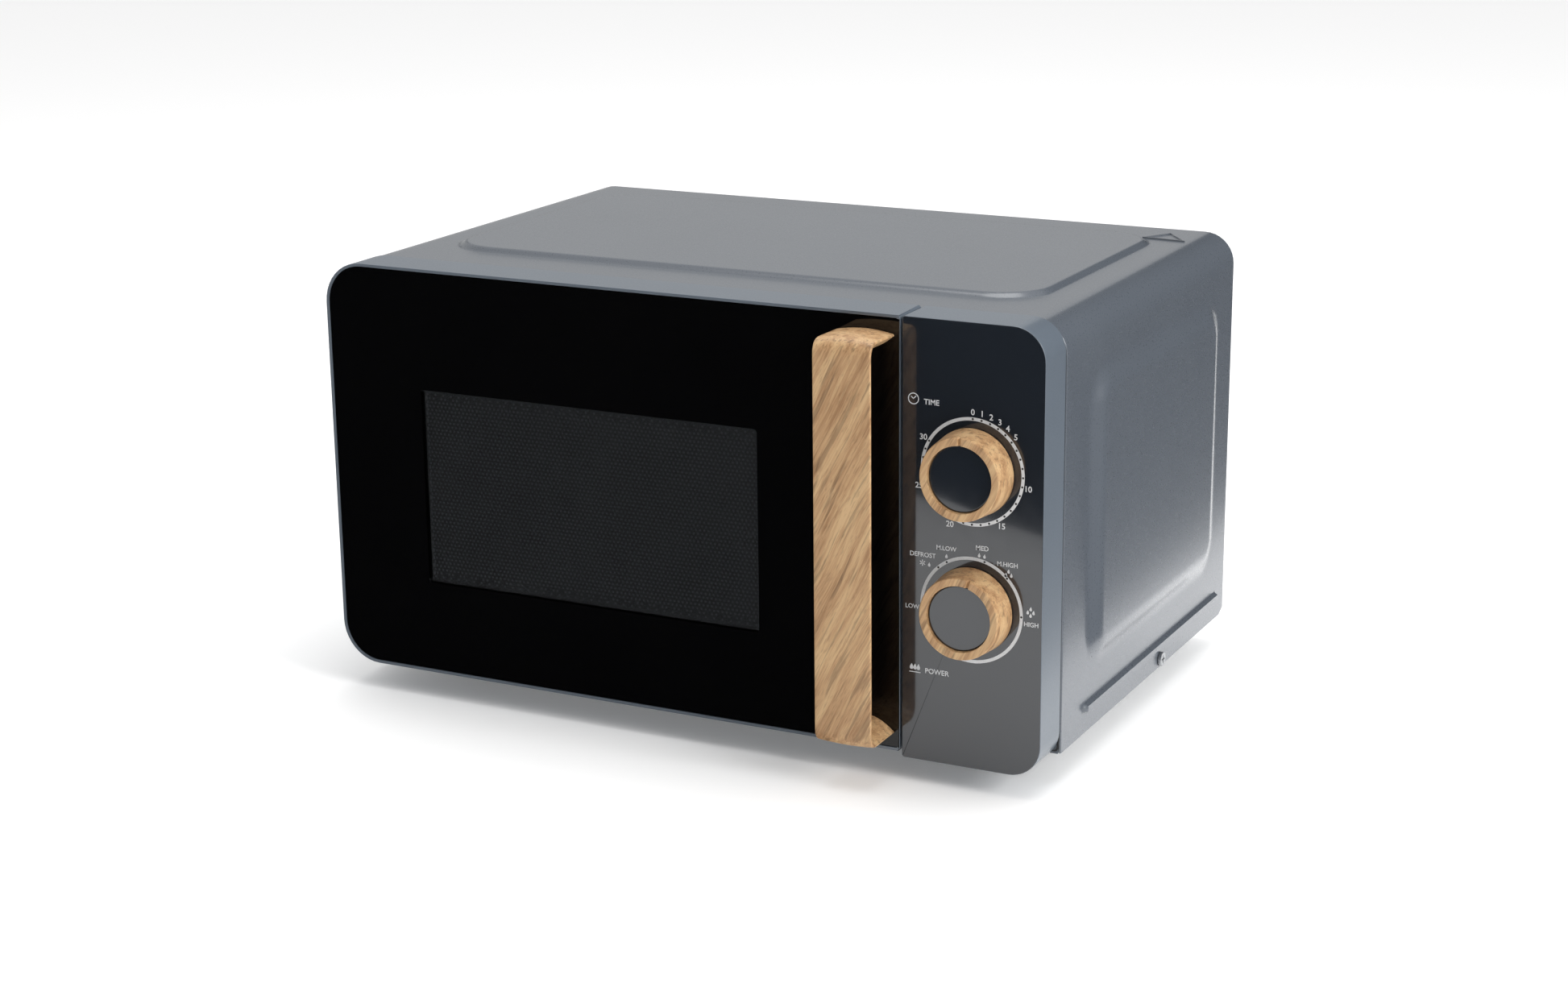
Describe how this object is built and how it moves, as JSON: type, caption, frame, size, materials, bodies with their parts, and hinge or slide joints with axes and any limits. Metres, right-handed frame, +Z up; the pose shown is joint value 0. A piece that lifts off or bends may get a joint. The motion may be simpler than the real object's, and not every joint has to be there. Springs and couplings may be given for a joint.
{
  "type": "microwave oven",
  "caption": "Compact countertop microwave oven with a side-hinged window door, a wood-effect bar handle and rotary time and power dials on a control panel.",
  "frame": {"origin": "centre of the bounding box's footprint, on the surface that the feet stand on", "axes": "+Z up, -Y out of the door, +X to the right as the user faces the door"},
  "size_m": [0.448, 0.3308, 0.2544],
  "materials": {
    "cabinet_paint": "satin",
    "rear_paint": "satin",
    "galvanised_sheet": "matt galvanised",
    "chamber_enamel": "semi-gloss",
    "panel_gloss": "gloss",
    "bezel_grey": "satin",
    "door_glass": "gloss black",
    "door_steel": "black enamel",
    "black_plastic": "satin",
    "wood_effect": "satin wood effect",
    "insert_black": "gloss",
    "screw_steel": "bright zinc",
    "foot_rubber": "matt",
    "clear_glass": "clear",
    "white_plastic": "satin",
    "mica": "matt",
    "copper_winding": "enamelled copper wire",
    "fin_aluminium": "plain",
    "board_green": "circuit board"
  },
  "bodies": {
    "oven": {"outer_cabinet": "cabinet_paint", "base_plate": "galvanised_sheet", "foot_front_left": "foot_rubber", "foot_rear_left": "foot_rubber", "foot_front_right": "foot_rubber", "foot_rear_right": "foot_rubber", "side_screw_left": "screw_steel", "side_screw_right": "screw_steel", "rear_screw_left": "screw_steel", "rear_screw_right": "screw_steel", "rear_panel": "rear_paint", "cord_gland": "black_plastic", "front_frame": "chamber_enamel", "cavity_liner": "chamber_enamel", "waveguide_cover": "mica", "turntable_motor": "galvanised_sheet", "waveguide": "galvanised_sheet", "magnetron": "fin_aluminium", "transformer_core": "galvanised_sheet", "transformer_coil": "copper_winding", "capacitor": "fin_aluminium", "capacitor_clamp": "galvanised_sheet", "fan_shroud": "black_plastic", "fan_motor": "galvanised_sheet", "lamp_holder": "white_plastic", "lamp_bulb": "clear_glass", "thermal_cutout": "black_plastic", "noise_filter": "board_green", "hinge_lower": "galvanised_sheet", "hinge_upper": "galvanised_sheet", "control_panel": "panel_gloss", "timer_body": "galvanised_sheet", "latch_bracket": "white_plastic", "switch_primary": "black_plastic", "switch_secondary": "black_plastic", "switch_monitor": "black_plastic"},
    "door": {"door_frame": "bezel_grey", "door_glass": "door_glass", "door_mesh": "door_steel", "door_inner_cover": "black_plastic", "handle": "wood_effect", "handle_screw_lower": "screw_steel", "handle_screw_upper": "screw_steel"},
    "latch": {"latch_lever": "black_plastic"},
    "time_dial": {"time_knob": "wood_effect", "time_knob_insert": "insert_black", "timer_shaft": "screw_steel"},
    "power_dial": {"power_knob": "wood_effect", "power_knob_insert": "insert_black", "selector_shaft": "screw_steel"},
    "turntable": {"turntable_coupler": "white_plastic", "glass_tray": "clear_glass"},
    "ring": {"roller_ring": "white_plastic"},
    "wheel_1": {"roller_1": "white_plastic"},
    "wheel_2": {"roller_2": "white_plastic"},
    "wheel_3": {"roller_3": "white_plastic"},
    "fan": {"fan_blade": "white_plastic"},
    "plunger_a": {"plunger_primary": "white_plastic"},
    "plunger_b": {"plunger_secondary": "white_plastic"},
    "plunger_c": {"plunger_monitor": "white_plastic"}
  },
  "joints": [
    {"name": "door_hinge", "type": "hinge", "parent": "oven", "child": "door", "pos_m": [-0.2125, -0.1173, 0.135], "axis": [0, 0, -1], "range_deg": [0, 100]},
    {"name": "latch_lift", "type": "slide", "parent": "door", "child": "latch", "axis": [0, 0, 1], "range_m": [0, 0.004], "stiffness_N_per_m": 300, "springref_m": -0.004},
    {"name": "time_turn", "type": "hinge", "parent": "oven", "child": "time_dial", "pos_m": [0.1804, -0.1348, 0.1755], "axis": [0, 1, 0], "range_deg": [0, 300]},
    {"name": "power_turn", "type": "hinge", "parent": "oven", "child": "power_dial", "pos_m": [0.1804, -0.1348, 0.1011], "axis": [0, 1, 0], "range_deg": [-105, 75]},
    {"name": "tray_spin", "type": "hinge", "parent": "oven", "child": "turntable", "pos_m": [-0.043, 0.0228, 0.045], "axis": [0, 0, 1], "continuous": true},
    {"name": "ring_spin", "type": "hinge", "parent": "oven", "child": "ring", "pos_m": [-0.043, 0.0228, 0.045], "axis": [0, 0, 1], "continuous": true},
    {"name": "wheel_1_roll", "type": "hinge", "parent": "ring", "child": "wheel_1", "pos_m": [0.0485, 0.0228, 0.0443], "axis": [1, 0, 0], "continuous": true},
    {"name": "wheel_2_roll", "type": "hinge", "parent": "ring", "child": "wheel_2", "pos_m": [-0.08875, 0.10204, 0.0443], "axis": [-0.5, 0.866, 0], "continuous": true},
    {"name": "wheel_3_roll", "type": "hinge", "parent": "ring", "child": "wheel_3", "pos_m": [-0.08875, -0.05644, 0.0443], "axis": [-0.5, -0.866, 0], "continuous": true},
    {"name": "fan_spin", "type": "hinge", "parent": "oven", "child": "fan", "pos_m": [0.158, 0.1452, 0.1648], "axis": [0, 1, 0], "continuous": true},
    {"name": "plunger_primary_press", "type": "slide", "parent": "oven", "child": "plunger_a", "axis": [0, 1, 0], "range_m": [-0.0012, 0]},
    {"name": "plunger_secondary_press", "type": "slide", "parent": "oven", "child": "plunger_b", "axis": [0, 1, 0], "range_m": [-0.0012, 0]},
    {"name": "plunger_monitor_press", "type": "slide", "parent": "oven", "child": "plunger_c", "axis": [0, 1, 0], "range_m": [-0.0012, 0]}
  ],
  "couplings": [
    {"joint": "ring_spin", "follows": "tray_spin", "ratio": 0.5},
    {"joint": "wheel_1_roll", "follows": "tray_spin", "ratio": -6.5357},
    {"joint": "wheel_2_roll", "follows": "tray_spin", "ratio": -6.5357},
    {"joint": "wheel_3_roll", "follows": "tray_spin", "ratio": -6.5357},
    {"joint": "plunger_primary_press", "follows": "door_hinge", "m_per_rad": -0.000687},
    {"joint": "plunger_secondary_press", "follows": "door_hinge", "m_per_rad": -0.000687},
    {"joint": "plunger_monitor_press", "follows": "door_hinge", "m_per_rad": -0.000687}
  ]
}
